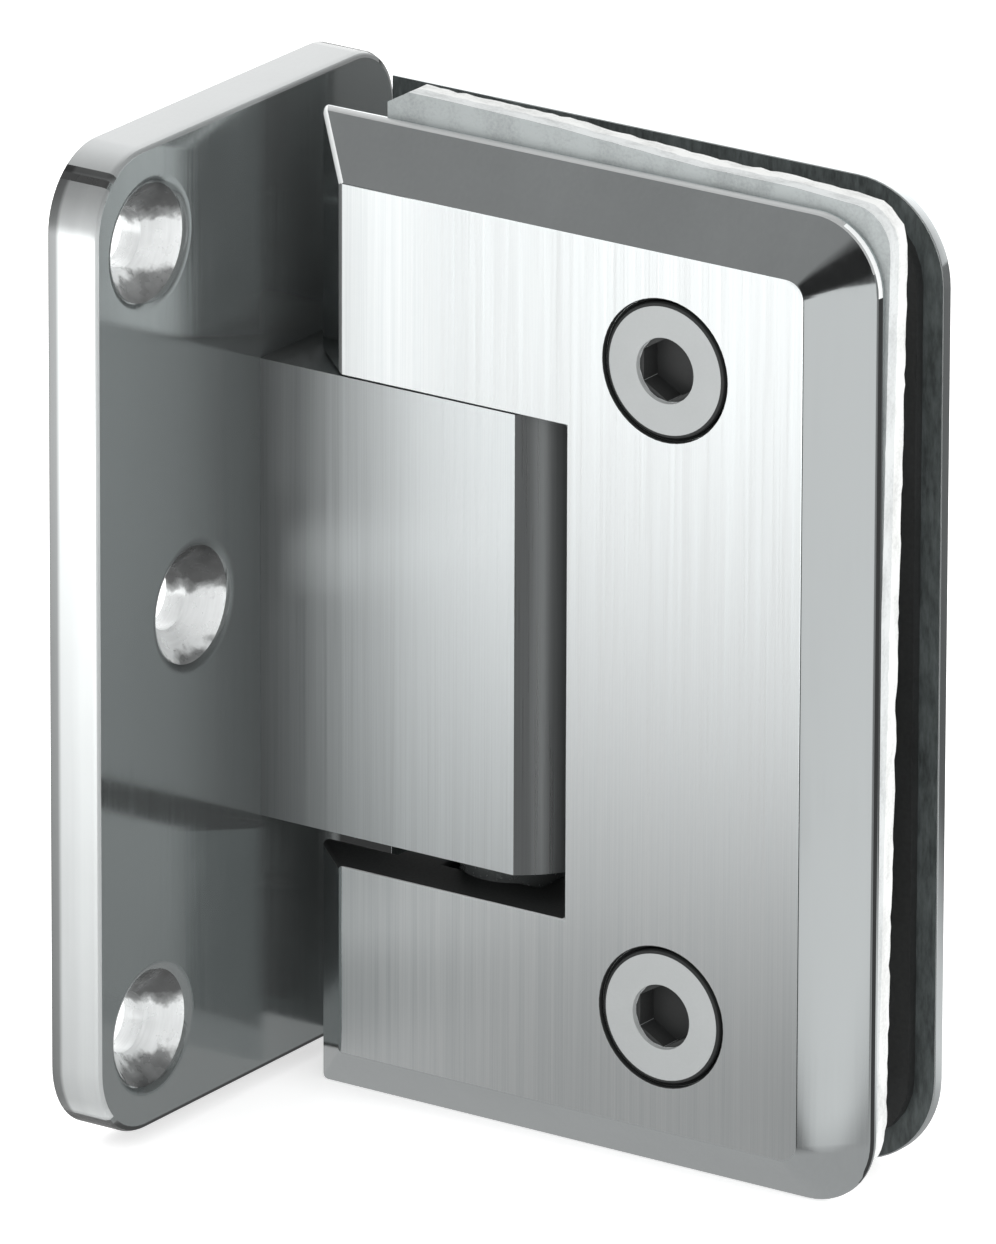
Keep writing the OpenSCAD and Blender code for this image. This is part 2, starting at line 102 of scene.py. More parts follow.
# points this near are joined, faces that turn less make one flat, edges that turn more are eased,
# and edges that turn less are shaded smooth
WELD = 0.002 * MM
FLAT = math.radians(0.4)
CORNER = math.radians(24)
SMOOTH = math.radians(28)

# room that takes in the notch of a clamp plate, the left end of the clamp's front face, and how
# far down the clamp's right side its lip gets a painted glint, with painted shade below
NOTCH_W = 29.5 * MM
NOTCH_H = 49 * MM
LAND_X = 13.35 * MM
LAND_NEAR = 0.1 * MM
GLINT_H = 16 * MM

# clamp screws: their place across the clamp and from the middle of its height, the room round
# them, and the sizes by which the faces of sockets and heads are told apart
SCREW_X = 47.25 * MM
SCREW_Z = 29.5 * MM
SCREW_R = 8 * MM
SOCKET_R = 3.1 * MM
SOCKET_MOUTH = 0.15 * MM
SOCKET_DEEP = 4.5 * MM
SOCKET_WALL = 0.25 * MM
HEAD_NEAR = 0.1 * MM
HEAD_RING = 0.4 * MM

# gaskets: room round their holes that the trim skips, and the lengths of its waves and nicks
HOLE_ROOM = 10 * MM
WAVE = 1.3 * MM
NICK = 0.8 * MM

# how far a face's normal goes along an axis: flat on, at most eased, nearly flat on, on a bevel's
# lip, on a mitre, and just off a side
FACE_ON = 0.999
EASED = 0.98
NEAR_ON = 0.95
LIP = 0.6
MITRE = 0.15
OFF_SIDE = 0.05


# Settings


class HingeEdges(bpy.types.PropertyGroup):
    """Sizes of the eased edges and of the trimmed gaskets."""

    back_edge: FloatProperty(
        name="Wall plate back edge", description="Rounding of the edge against the wall",
        default=1.1 * MM, min=0, max=2 * MM, unit="LENGTH")
    plate_edge: FloatProperty(
        name="Wall plate front edge", description="Rounding round the wall plate's open face",
        default=0.55 * MM, min=0, max=1 * MM, unit="LENGTH")
    plate_reach: FloatProperty(
        name="Wall plate reach", description="How much further back the wall plate's rear end lies",
        default=1.19 * MM, min=0, max=1.2 * MM, unit="LENGTH")
    back_reach: FloatProperty(
        name="Back plate reach", description="How much nearer to the wall the back plate begins",
        default=0.4 * MM, min=0, max=0.4 * MM, unit="LENGTH")
    lip_edge: FloatProperty(
        name="Lip edge", description="Rounding where a bevel ends in the plate's side",
        default=0.5 * MM, min=0, max=0.8 * MM, unit="LENGTH")
    face_edge: FloatProperty(
        name="Face edge", description="Rounding where a bevel meets a brushed face",
        default=0.12 * MM, min=0, max=0.5 * MM, unit="LENGTH")
    land_edge: FloatProperty(
        name="Left land edge", description="Rounding between the front face and its left bevel",
        default=0.4 * MM, min=0, max=1 * MM, unit="LENGTH")
    block_edge: FloatProperty(
        name="Block edge", description="Rounding of the pivot block's edges",
        default=0.15 * MM, min=0, max=0.5 * MM, unit="LENGTH")
    screw_edge: FloatProperty(
        name="Screw edge", description="Rounding of screw heads and sockets",
        default=0.1 * MM, min=0, max=0.3 * MM, unit="LENGTH")
    head_edge: FloatProperty(
        name="Screw head edge", description="Turned edge round a screw's flat head, painted dark as shade",
        default=0.35 * MM, min=0, max=0.6 * MM, unit="LENGTH")
    cut_step: FloatProperty(
        name="Trim step", description="Distance between the knife marks on a gasket edge",
        default=0.9 * MM, min=0.5 * MM, max=5 * MM, unit="LENGTH")
    cut_depth: FloatProperty(
        name="Trim depth", description="How deep the uneven trim of the pale gasket goes",
        default=0.22 * MM, min=0, max=1 * MM, unit="LENGTH")
    cut_rise: FloatProperty(
        name="Trim rise", description="How far the pale gasket's long top edge bulges up",
        default=0.6 * MM, min=0, max=1 * MM, unit="LENGTH")


class HingeFinishes(bpy.types.PropertyGroup):
    """Colours of the metals and gaskets."""

    # darker than the rim's steel, partly painted shade for the dark room the face mirrors
    wall: FloatVectorProperty(
        name="Wall plate steel", description="Colour of the polished wall plate",
        default=(0.36, 0.385, 0.385), size=3, min=0, max=1, subtype="COLOR")
    polished: FloatVectorProperty(
        name="Polished steel", description="Colour of the clamp plates' bevels",
        default=(0.71, 0.745, 0.75), size=3, min=0, max=1, subtype="COLOR")
    brushed: FloatVectorProperty(
        name="Brushed steel", description="Colour of the brushed faces",
        default=(0.75, 0.785, 0.79), size=3, min=0, max=1, subtype="COLOR")
    screw: FloatVectorProperty(
        name="Screw steel", description="Colour of the screws",
        default=(0.385, 0.4, 0.4), size=3, min=0, max=1, subtype="COLOR")
    rim: FloatVectorProperty(
        name="Wall plate rim", description="Colour of the wall plate's satin rim",
        default=(0.74, 0.765, 0.765), size=3, min=0, max=1, subtype="COLOR")
    # a bright colour, painted light in the countersinks and on the clamp's mitres and lips
    cone: FloatVectorProperty(
        name="Countersink", description="Colour of the countersinks, bright as painted light",
        default=(0.88, 0.9, 0.9), size=3, min=0, max=1, subtype="COLOR")
    # near black: painted shade in the notch, round the clamp screws and on edges out of the light
    painted_shade: FloatVectorProperty(
        name="Painted shade", description="Colour painted as shade in the notch and on faces out of the light",
        default=(0.03, 0.032, 0.032), size=3, min=0, max=1, subtype="COLOR")
    # dark, as painted shade on the back plate's face in the glass gap
    border: FloatVectorProperty(
        name="Back plate border", description="Colour of the border round the dark gasket, painted dark as shade",
        default=(0.075, 0.086, 0.086), size=3, min=0, max=1, subtype="COLOR")
    # ground steel, made darker as painted shade for the pin in the dark gap
    pin: FloatVectorProperty(
        name="Pin steel", description="Colour of the ground pivot pin",
        default=(0.2, 0.215, 0.215), size=3, min=0, max=1, subtype="COLOR")
    brass: FloatVectorProperty(
        name="Brass", description="Colour of the oiled pin bushes",
        default=(0.14, 0.115, 0.08), size=3, min=0, max=1, subtype="COLOR")
    pale: FloatVectorProperty(
        name="Pale gasket", description="Colour of the gasket in front of the glass",
        default=(0.74, 0.75, 0.74), size=3, min=0, max=1, subtype="COLOR")
    # darker copies of the pale gasket as painted shade: its half nearer the front plate, and its
    # front
    cut: FloatVectorProperty(
        name="Pale gasket side", description="Colour of the cut side nearer the front plate",
        default=(0.61, 0.63, 0.63), size=3, min=0, max=1, subtype="COLOR")
    pale_front_shade: FloatVectorProperty(
        name="Pale gasket front", description="Colour of the front that lies on the steel",
        default=(0.36, 0.385, 0.385), size=3, min=0, max=1, subtype="COLOR")
    dark: FloatVectorProperty(
        name="Dark gasket", description="Colour of the gasket behind the glass",
        default=(0.017, 0.018, 0.018), size=3, min=0, max=1, subtype="COLOR")
    nylon: FloatVectorProperty(
        name="Nylon", description="Colour of the sleeves round the clamp screws",
        default=(0.7, 0.7, 0.66), size=3, min=0, max=1, subtype="COLOR")


class HingeStudio(bpy.types.PropertyGroup):
    """Camera place and the light of the studio."""

    azimuth: FloatProperty(
        name="Azimuth", description="Camera angle round the hinge from its front",
        default=math.radians(34.322), subtype="ANGLE")
    elevation: FloatProperty(
        name="Elevation", description="Camera angle above the level",
        default=math.radians(19.419), subtype="ANGLE")
    roll: FloatProperty(
        name="Roll", description="Camera turn about its own line of sight",
        default=math.radians(0.181), subtype="ANGLE")
    distance: FloatProperty(
        name="Distance", description="From the camera to the middle of the hinge",
        default=1.65055, min=0.1, unit="LENGTH")
    lens: FloatProperty(
        name="Lens", description="Focal length in millimetres", default=553.4, min=50, max=2000)
    key_power: FloatProperty(
        name="Key power", description="Power of the large soft light, in watts",
        default=4, min=0, max=200)
    fill_power: FloatProperty(
        name="Fill power", description="Power of the soft light on the right, in watts",
        default=3, min=0, max=200)
    sky: FloatProperty(
        name="Room light", description="Brightness of the white room round the hinge",
        default=1.0, min=0, max=3)
    ceiling: FloatProperty(
        name="Mirrored ceiling", description="Brightness that steel mirrors from above in front",
        default=0.27, min=0, max=3)
    backdrop: FloatProperty(
        name="Mirrored backdrop", description="Brightness that steel mirrors from behind",
        default=1.6, min=0, max=3)
    marks: IntProperty(
        name="Marks seed", description="Which set of trim marks is drawn", default=3, min=0)


# Finishes


def new_finish(name, metallic=1.0, roughness=0.3):
    """A material with its shader and the point on the piece that patterns read."""
    finish = bpy.data.materials.new(name)
    finish.use_nodes = True
    tree = finish.node_tree
    shader = tree.nodes["Principled BSDF"]
    shader.inputs["Metallic"].default_value = metallic
    shader.inputs["Roughness"].default_value = roughness
    place = tree.nodes.new("ShaderNodeTexCoord").outputs["Object"]
    return finish, tree, shader, place


def grain(tree, place, size, detail=3.0, rough=0.5, offset=(0, 0, 0)):
    """Noise whose lumps have the given size in millimetres along X, Y and Z."""
    mapping = tree.nodes.new("ShaderNodeMapping")
    mapping.inputs["Scale"].default_value = [1 / (s * MM) for s in size]
    mapping.inputs["Location"].default_value = offset
    pattern = tree.nodes.new("ShaderNodeTexNoise")
    pattern.inputs["Scale"].default_value = 1.0
    pattern.inputs["Detail"].default_value = detail
    pattern.inputs["Roughness"].default_value = rough
    tree.links.new(place, mapping.inputs["Vector"])
    tree.links.new(mapping.outputs["Vector"], pattern.inputs["Vector"])
    return pattern.outputs["Fac"]


def between(tree, value, low, high, start=0.3, end=0.7):
    """The value spread from start..end to low..high."""
    spread = tree.nodes.new("ShaderNodeMapRange")
    for key, number in (("From Min", start), ("From Max", end), ("To Min", low), ("To Max", high)):
        spread.inputs[key].default_value = number
    tree.links.new(value, spread.inputs["Value"])
    return spread.outputs["Result"]


def shade_of(tree, value, dark, light, start=0.3, end=0.7):
    """A colour from dark to light, by the value."""
    ramp = tree.nodes.new("ShaderNodeValToRGB")
    ramp.color_ramp.elements[0].position = start
    ramp.color_ramp.elements[1].position = end
    ramp.color_ramp.elements[0].color = (*dark, 1)
    ramp.color_ramp.elements[1].color = (*light, 1)
    tree.links.new(value, ramp.inputs["Fac"])
    return ramp.outputs["Color"]


def mean(tree, first, second, share=0.5, blend="MIX"):
    """A blend of two values or colours; share is the second's part."""
    mix = tree.nodes.new("ShaderNodeMix")
    mix.data_type = "RGBA"
    mix.blend_type = blend
    mix.inputs["Factor"].default_value = share
    tree.links.new(first, mix.inputs["A"])
    tree.links.new(second, mix.inputs["B"])
    return mix.outputs["Result"]


def parts(tree, vector):
    """The X, Y and Z of a vector."""
    split = tree.nodes.new("ShaderNodeSeparateXYZ")
    tree.links.new(vector, split.inputs["Vector"])
    return split.outputs


def facing(tree, sight, way):
    """How far a line of sight goes the given way."""
    share = tree.nodes.new("ShaderNodeVectorMath")
    share.operation = "DOT_PRODUCT"
    share.inputs[1].default_value = way
    tree.links.new(sight, share.inputs[0])
    return share.outputs["Value"]


def combine(tree, operation, first, second):
    """Joins a value and a value or number by a sum of the given kind."""
    sums = tree.nodes.new("ShaderNodeMath")
    sums.operation = operation
    tree.links.new(first, sums.inputs[0])
    if isinstance(second, float):
        sums.inputs[1].default_value = second
    else:
        tree.links.new(second, sums.inputs[1])
    return sums.outputs["Value"]


def relief(tree, shader, height, depth, strength=1.0):
    """Raises the surface by the height times depth, in millimetres."""
    bump = tree.nodes.new("ShaderNodeBump")
    bump.inputs["Distance"].default_value = depth * MM
    bump.inputs["Strength"].default_value = strength
    tree.links.new(height, bump.inputs["Height"])
    tree.links.new(bump.outputs["Normal"], shader.inputs["Normal"])


def coat(tree, shader, colour, gloss, low, high):
    """Gives the surface its colour, and a roughness from low to high by the gloss."""
    tree.links.new(colour, shader.inputs["Base Color"])
    tree.links.new(between(tree, gloss, low, high), shader.inputs["Roughness"])


def scaled(colour, share):
    """The colour made darker or lighter by a share."""
    return tuple(min(1.0, c * share) for c in colour)


def along(tree, place, axis, stops):
    """A grey level by the place along an axis; stops are millimetres and levels."""
    return levels(tree, parts(tree, place)[axis], stops, MM)


def where_both(tree, place, drifts):
    """A grey level that is dark only where two drifts along their axes are both dark."""
    return combine(tree, "MAXIMUM", *[along(tree, place, axis, stops) for axis, stops in drifts])


def levels(tree, value, stops, unit, top=1.0):
    """A grey level by a value; stops are marks in the unit and levels up to the top."""
    low, high = stops[0][0], stops[-1][0]
    ramp = tree.nodes.new("ShaderNodeValToRGB")
    spots = ramp.color_ramp.elements
    while len(spots) < len(stops):
        spots.new(0.5)
    for spot, (mark, level) in zip(spots, stops):
        spot.position = (mark - low) / (high - low)
        spot.color = (level / top, level / top, level / top, 1)
    tree.links.new(between(tree, value, 0, 1, low * unit, high * unit), ramp.inputs["Fac"])
    return ramp.outputs["Color"]


def tinted(tree, colour, level):
    """The colour multiplied by a grey level."""
    return mean(tree, colour, level, 1.0, "MULTIPLY")


def brushed_steel(name, colour, painted_drift, rough=0.38, metallic=1.0, matt=()):
    """Steel brushed upright: fine lines over wider, softer streaks, and light spread sideways.
    Along X it gets painted light and shade, given as millimetres and levels. Where both of matt's
    drifts are low, it scatters light instead of mirroring it."""
    finish, tree, shader, place = new_finish(name, metallic)
    shader.inputs["Anisotropic"].default_value = 0.85
    fine = grain(tree, place, LINES, detail=2)
    wide = grain(tree, place, [3.5 * s for s in LINES], detail=2, offset=(3, 5, 7))
    both = mean(tree, fine, wide, 0.45)
    steel = shade_of(tree, both, scaled(colour, 0.88), scaled(colour, 1.08))
    steel = tinted(tree, steel, along(tree, place, "X", painted_drift))
    coat(tree, shader, steel, both, rough - 0.06, rough + 0.08)
    relief(tree, shader, both, 0.006, 0.6)
    if matt:
        tree.links.new(where_both(tree, place, matt), shader.inputs["Metallic"])
    return finish


def polished_steel(name, colour, rough=0.12, metallic=1.0, spread=0.0, drifts=(), corner=()):
    """Polished steel with a slight cloud in its gloss and faint rubbing lines. The spread blurs what
    it mirrors sideways; each of the drifts paints shade on it along an axis, as millimetres and
    levels. The corner's two drifts paint shade on it only where both are dark."""
    finish, tree, shader, place = new_finish(name, metallic)
    shader.inputs["Anisotropic"].default_value = spread
    cloud = grain(tree, place, (9, 9, 14), detail=3)
    rub = grain(tree, place, (0.35, 0.35, 18), detail=2, offset=(1, 2, 3))
    steel = shade_of(tree, mean(tree, cloud, rub, 0.3), scaled(colour, 0.93), colour)
    for axis, stops in drifts:
        steel = tinted(tree, steel, along(tree, place, axis, stops))
    if corner:
        steel = tinted(tree, steel, where_both(tree, place, corner))
    coat(tree, shader, steel, mean(tree, cloud, rub, 0.4), rough - 0.04, rough + 0.06)
    relief(tree, shader, rub, 0.0012, 0.35)
    return finish


def turned_steel(name, colour, rough=0.5, metallic=0.6):
    """Turned or forged screw steel: a fine even grain with small dark specks."""
    finish, tree, shader, place = new_finish(name, metallic)
    fine = grain(tree, place, (0.25, 0.25, 0.25), detail=4)
    cloud = grain(tree, place, (4, 4, 4), detail=2)
    steel = shade_of(tree, mean(tree, fine, cloud, 0.4), scaled(colour, 0.92), colour)
    coat(tree, shader, steel, fine, rough - 0.05, rough + 0.07)
    relief(tree, shader, fine, 0.004, 0.5)
    return finish


def countersink_steel(name, colour):
    """Countersinks with painted light, alike in each: painted shade above, a painted highlight just
    under the middle.
    """
    finish, tree, shader, place = new_finish(name, 0.25, 0.3)
    hole = combine(tree, "WRAP", parts(tree, place)["Z"], HOLE_STEP / 2)
    hole.node.inputs[2].default_value = -HOLE_STEP / 2
    scuff = grain(tree, place, (1.4, 1.4, 1.4), detail=3)
    mark = combine(tree, "ADD", hole, between(tree, scuff, -0.6 * MM, 0.6 * MM))
    turning = grain(tree, place, (0.2, 3, 3), detail=2)
    steel = shade_of(tree, turning, scaled(colour, 0.9), colour)
    steel = tinted(tree, steel, levels(tree, mark, HOLE_PAINTED_LIGHT, MM))
    coat(tree, shader, steel, scuff, 0.22, 0.38)
    relief(tree, shader, turning, 0.004, 0.5)
    return finish


def shade_streaked_steel(name, colour):
    """Plate steel painted dark as shade, with upright streaks."""
    finish, tree, shader, place = new_finish(name, 0.3)
    stain = grain(tree, place, (0.4, 0.4, 1.6), detail=5, rough=0.65)
    cloud = grain(tree, place, (3, 3, 5), detail=2, offset=(2, 4, 6))
    both = mean(tree, stain, cloud, 0.35)
    steel = shade_of(tree, both, scaled(colour, 0.55), scaled(colour, 1.5), 0.36, 0.64)
    coat(tree, shader, steel, both, 0.42, 0.6)
    relief(tree, shader, stain, 0.004, 0.5)
    return finish


def oiled_brass(name, colour):
    """Turned brass, darkened in clouds by oil."""
    finish, tree, shader, place = new_finish(name)
    cloud = grain(tree, place, (3, 3, 3), detail=4)
    rings = grain(tree, place, (6, 6, 0.2), detail=2)
    coat(tree, shader, shade_of(tree, cloud, scaled(colour, 0.78), colour), cloud, 0.22, 0.4)
    relief(tree, shader, rings, 0.003, 0.4)
    return finish


def pale_rubber(name, colour, depth=0.06):
    """Pale foam gasket: fine pores of the given depth and soft grey smudges."""
    finish, tree, shader, place = new_finish(name, metallic=0.0, roughness=0.8)
    pores = grain(tree, place, (0.3, 0.3, 0.3), detail=5, rough=0.65)
    smudge = grain(tree, place, (3, 1.4, 5), detail=4, offset=(4, 1, 2))
    both = mean(tree, pores, smudge, 0.6)
    sheet = shade_of(tree, both, scaled(colour, 0.72), colour, 0.32, 0.55)
    tree.links.new(sheet, shader.inputs["Base Color"])
    relief(tree, shader, pores, depth, 0.7)
    shader.inputs["Specular IOR Level"].default_value = 0.3
    return finish


def dark_rubber(name, colour):
    """Dark gasket: nearly black, faintly mottled, with a soft sheen."""
    finish, tree, shader, place = new_finish(name, metallic=0.0, roughness=0.5)
    grainy = grain(tree, place, (0.4, 0.4, 0.4), detail=4)
    cloud = grain(tree, place, (6, 2, 9), detail=3)
    both = mean(tree, grainy, cloud, 0.5)
    sheet = shade_of(tree, both, scaled(colour, 0.6), scaled(colour, 1.5))
    coat(tree, shader, sheet, cloud, 0.38, 0.6)
    relief(tree, shader, grainy, 0.02, 0.5)
    return finish


def moulded_nylon(name, colour):
    """Moulded nylon: milky, smooth, with a slight flow cloud."""
    finish, tree, shader, place = new_finish(name, metallic=0.0, roughness=0.4)
    cloud = grain(tree, place, (4, 4, 6), detail=3)
    coat(tree, shader, shade_of(tree, cloud, scaled(colour, 0.88), colour), cloud, 0.34, 0.48)
    relief(tree, shader, cloud, 0.02, 0.3)
    return finish


# size of the fine brush lines
LINES = (0.16, 0.16, 22)
# painted light and shade on the brushed faces along X: lighter towards the clamp's left edge,
# painted shade on the block near the wall, and painted bands of light and shade on its round nose
CLAMP_PAINTED_LIGHT = ((8, 1.0), (22, 0.96), (36, 0.833), (66, 0.833))
BLOCK_PAINTED_SHADE = ((5, 0.3), (9, 0.42), (14, 0.8), (22, 1.0), (37, 1.0))
NOSE_PAINTED_BANDS = ((26, 0.3), (32.2, 0.42), (32.8, 0.5), (33.6, 0.9), (33.9, 0.88), (34.5, 0.62),
              (35, 0.5), (37, 0.33))
# how metallic the clamp's brushed face is at its upper left end, which stays pale beside the plate
MATT_CORNER = (
    ("X", ((13, 0.45), (18, 0.3), (22, 0.65), (26, 1.0))),
    ("Z", ((0, 1.0), (15, 0.0), (45, 0.0))),
)
# painted shade on the wall plate's rim: over its corners, and along its edge against the wall
RIM_PAINTED_SHADE = (
    ("Z", ((-45, 0.05), (-43, 0.1), (-42.4, 1.0), (-41, 0.8), (-37, 0.85), (-20, 0.9), (0, 0.9),
           (20, 1.0), (38.6, 1.0), (40, 0.75), (41.5, 0.5), (42.8, 0.4), (43.2, 0.1), (43.7, 0.1))),
    ("X", ((0, 0.3), (0.8, 0.35), (1.2, 0.9), (2.4, 0.92), (3.3, 1.0))),
)
# painted shade on the lower rear corner of the wall plate's face, which the clamp plates keep in the
# dark
PAINTED_SHADE_CORNER = (
    ("Y", ((1.8, 1.0), (3, 0.06), (10, 0.06))),
    ("Z", ((-40, 0.06), (-26, 0.06), (-24, 1.0))),
)
# how far apart the holes are, and the painted light and shade on each countersink from its bottom to
# its top
HOLE_STEP = 36 * MM
HOLE_PAINTED_LIGHT = ((-5.7, 0.1), (-3.6, 0.3), (-2.8, 1.0), (0.8, 1.0), (1.3, 0.4), (2.2, 0.12),
              (5.7, 0.05))

FINISHES = {}


# Piece making


def take_up(piece):
    """Makes this piece the only one selected, in object mode."""
    if bpy.context.object is not None and bpy.context.object.mode != "OBJECT":
        bpy.ops.object.mode_set(mode="OBJECT")
    bpy.ops.object.select_all(action="DESELECT")
    piece.select_set(True)
    bpy.context.view_layer.objects.active = piece


def lift_shape(node, name, join_flats=True):
    """A welded copy of a CAD node's mesh, as a new piece to be finished."""
    piece = bpy.data.objects.new(name, NODES[node].data.copy())
    bpy.context.scene.collection.objects.link(piece)
    piece.data.materials.clear()
    take_up(piece)
    bpy.ops.mesh.customdata_custom_splitnormals_clear()
    bpy.ops.object.mode_set(mode="EDIT")
    bpy.ops.mesh.select_mode(type="VERT")
    bpy.ops.mesh.select_all(action="SELECT")
    bpy.ops.mesh.remove_doubles(threshold=WELD)
    if join_flats:
        bpy.ops.mesh.dissolve_limited(angle_limit=FLAT)
    bpy.ops.object.mode_set(mode="OBJECT")
    return piece


def stretch(piece, reach, where):
    """Moves the piece's points that pass the test by the reach, a vector."""
    take_up(piece)
    bpy.ops.object.mode_set(mode="EDIT")
    bpy.ops.mesh.select_mode(type="VERT")
    bpy.ops.mesh.select_all(action="DESELECT")
    mesh = bmesh.from_edit_mesh(piece.data)
    for vert in mesh.verts:
        vert.select_set(where(vert.co))
    mesh.select_flush_mode()
    bmesh.update_edit_mesh(piece.data)
    bpy.ops.transform.translate(value=reach)
    bpy.ops.object.mode_set(mode="OBJECT")


def ease_edges(piece, width, steps=2, where=None):
    """Rounds the piece's sharp edges whose middle passes the test."""
    take_up(piece)
    bpy.ops.object.mode_set(mode="EDIT")
    bpy.ops.mesh.select_mode(type="EDGE")
    bpy.ops.mesh.select_all(action="DESELECT")
    mesh = bmesh.from_edit_mesh(piece.data)
    for edge in mesh.edges:
        if len(edge.link_faces) == 2 and edge.calc_face_angle(0) > CORNER:
            middle = (edge.verts[0].co + edge.verts[1].co) / 2
            if where is None or where(middle):
                edge.select_set(True)
    bmesh.update_edit_mesh(piece.data)
    bpy.ops.mesh.bevel(offset=width, segments=steps, affect="EDGES", clamp_overlap=True)
    bpy.ops.object.mode_set(mode="OBJECT")


def ease_by_share(piece, width, share):
    """Rounds each of the piece's sharp edges by its own share of the width."""
    mesh = bmesh.new()
    mesh.from_mesh(piece.data)
    weight = mesh.edges.layers.float.new("bevel_weight_edge")
    for edge in mesh.edges:
        if len(edge.link_faces) == 2 and edge.calc_face_angle(0) > CORNER:
            edge[weight] = share((edge.verts[0].co + edge.verts[1].co) / 2)
    mesh.to_mesh(piece.data)
    mesh.free()
    take_up(piece)
    rounding = piece.modifiers.new("EasedEdges", "BEVEL")
    rounding.limit_method = "WEIGHT"
    rounding.width = width
    rounding.segments = 3
    bpy.ops.object.modifier_apply(modifier=rounding.name)
    bpy.ops.object.mode_set(mode="EDIT")
    bpy.ops.mesh.select_all(action="SELECT")
    bpy.ops.mesh.quads_convert_to_tris(ngon_method="BEAUTY")
    bpy.ops.object.mode_set(mode="OBJECT")


def finish_piece(piece, node, finish, slot, *patches):
    """Smooths the piece, gives it its finishes and hangs it in the place of its CAD node.
    A patch is a finish and a test of a face's middle and normal, and of the node's box."""
    take_up(piece)
    bpy.ops.object.shade_smooth_by_angle(angle=SMOOTH)
    flats = piece.modifiers.new("FlatsStayFlat", "WEIGHTED_NORMAL")
    flats.keep_sharp = True
    flats.weight = 100
    bpy.ops.object.modifier_apply(modifier=flats.name)
    piece.data.materials.append(FINISHES[finish])
    for patch, _ in patches:
        piece.data.materials.append(FINISHES[patch])
    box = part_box(node)
    for face in piece.data.polygons:
        for index, (_, test) in enumerate(patches, 1):
            if test(face.center, face.normal, box):
                face.material_index = index
    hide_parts(node)
    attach(piece, NODES[node]["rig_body"])


def dress_node(node, finish):
    """Gives a carried-over CAD node its finish."""
    for holder in NODES[node].material_slots:
        holder.material = FINISHES[finish]


def faces_front(middle, normal, box):
    """True for a face that looks straight to the front."""
    return normal.y < -FACE_ON


def inside_rim(middle, box):
    """True where the wall plate's holes lie, away from its rim."""
    low, high = box
    rim = 2 * MM
    return low.y + rim < middle.y < high.y - rim and abs(middle.z) < high.z - rim


def turns_from_wall(middle, normal, box):
    """True for a face of the wall plate's rim."""
    return abs(normal.x) < NEAR_ON and not inside_rim(middle, box)


def on_top(middle, normal, box):
    """True for the top of the wall plate's rim, which gets a darker copy of the rim's steel as
    painted shade.
    """
    level = normal.z > 0.78 * math.sqrt(max(0.0, 1 - normal.x ** 2))
    return level and turns_from_wall(middle, normal, box)


def on_upper_lip(middle, normal, box):
    """True for the front plate's upper lip and the top front edge of its lower ear, which get a
    painted highlight.
    """
    lip = -0.7 < normal.y < -OFF_SIDE
    ear = middle.z < 0 and -0.97 < normal.y < -OFF_SIDE
    return normal.z > 0.25 and (lip or ear)


def on_right_lip(normal, lean):
    """True for a face of the front plate's right lip that leans right by this at least."""
    return normal.x > lean and -LIP < normal.y < -OFF_SIDE


def on_mitre(middle, normal, box):
    """True for the edges at the ends of the top bevel that get a painted glint."""
    left = normal.x < -MITRE and normal.z > MITRE and middle.z > 0
    return left or on_right_lip(normal, 0.4) and middle.z > box[1].z - GLINT_H


def in_shade(middle, normal, box):
    """True for the mitre of the front plate's lower ear, and for its right lip below the glint:
    faces that get painted shade.
    """
    ear = middle.z < 0 and middle.x < LAND_X and normal.x < -MITRE and normal.z > MITRE
    return ear or on_right_lip(normal, 0.8) and middle.z < box[1].z - GLINT_H


def off_screw(point, level):
    """How far a point lies from a clamp screw's axis, with the clamp's middle at the level."""
    return math.hypot(point.x - SCREW_X, abs(point.z - level) - SCREW_Z)


def in_screw_hole(middle, normal, box):
    """True for the walls and eased edges of the front plate's screw holes, which get painted shade.
    """
    return off_screw(middle, (box[0].z + box[1].z) / 2) < SCREW_R and normal.y > -EASED


def on_land_edge(middle, normal, box):
    """True for the rounded edge between the upper left bevel and the front face, which gets painted
    shade.
    """
    upright = middle.z > 0 and abs(normal.z) < 0.1
    return upright and -0.64 < normal.x < -OFF_SIDE and normal.y < -0.76


def turns_left(middle, normal, box):
    """True for the back plate's flat left side, which gets painted shade."""
    return normal.x < -NEAR_ON


def in_hole(middle, normal, box):
    """True for a face of the wall plate's holes."""
    return abs(normal.x) < 0.75 and inside_rim(middle, box)


def in_notch(middle, normal, box):
    """True for a face of a clamp plate's notch, which is open to the left at half height."""
    low, high = box
    return (abs(normal.y) < 0.3 and low.x < middle.x < low.x + NOTCH_W
            and abs(middle.z - (low.z + high.z) / 2) < NOTCH_H / 2)


def on_nose(middle, normal, box):
    """True for the round end of the pivot block."""
    return normal.x > OFF_SIDE


def cut_in_front(middle, normal, box):
    """True for the half of a gasket that lies nearer to the front plate, which on the pale gasket
    gets painted shade.
    """
    return middle.y < (box[0].y + box[1].y) / 2


def off_axis(middle, box):
    """How far a point of a clamp screw lies from the screw's axis."""
    return math.hypot(middle.x - (box[0].x + box[1].x) / 2, middle.z - (box[0].z + box[1].z) / 2)


def in_socket(middle, normal, box):
    """True for a face inside a clamp screw's hex socket, without the wall of its mouth; these get
    painted shade.
    """
    deep = box[0].y + SOCKET_MOUTH < middle.y < box[0].y + SOCKET_DEEP
    return deep and off_axis(middle, box) < SOCKET_R - SOCKET_WALL


def on_head_edge(middle, normal, box):
    """True for the turned edge of a clamp screw's head, which gets painted shade."""
    return off_axis(middle, box) > (box[1].x - box[0].x) / 2 - HEAD_RING and normal.y > -EASED


# Operators


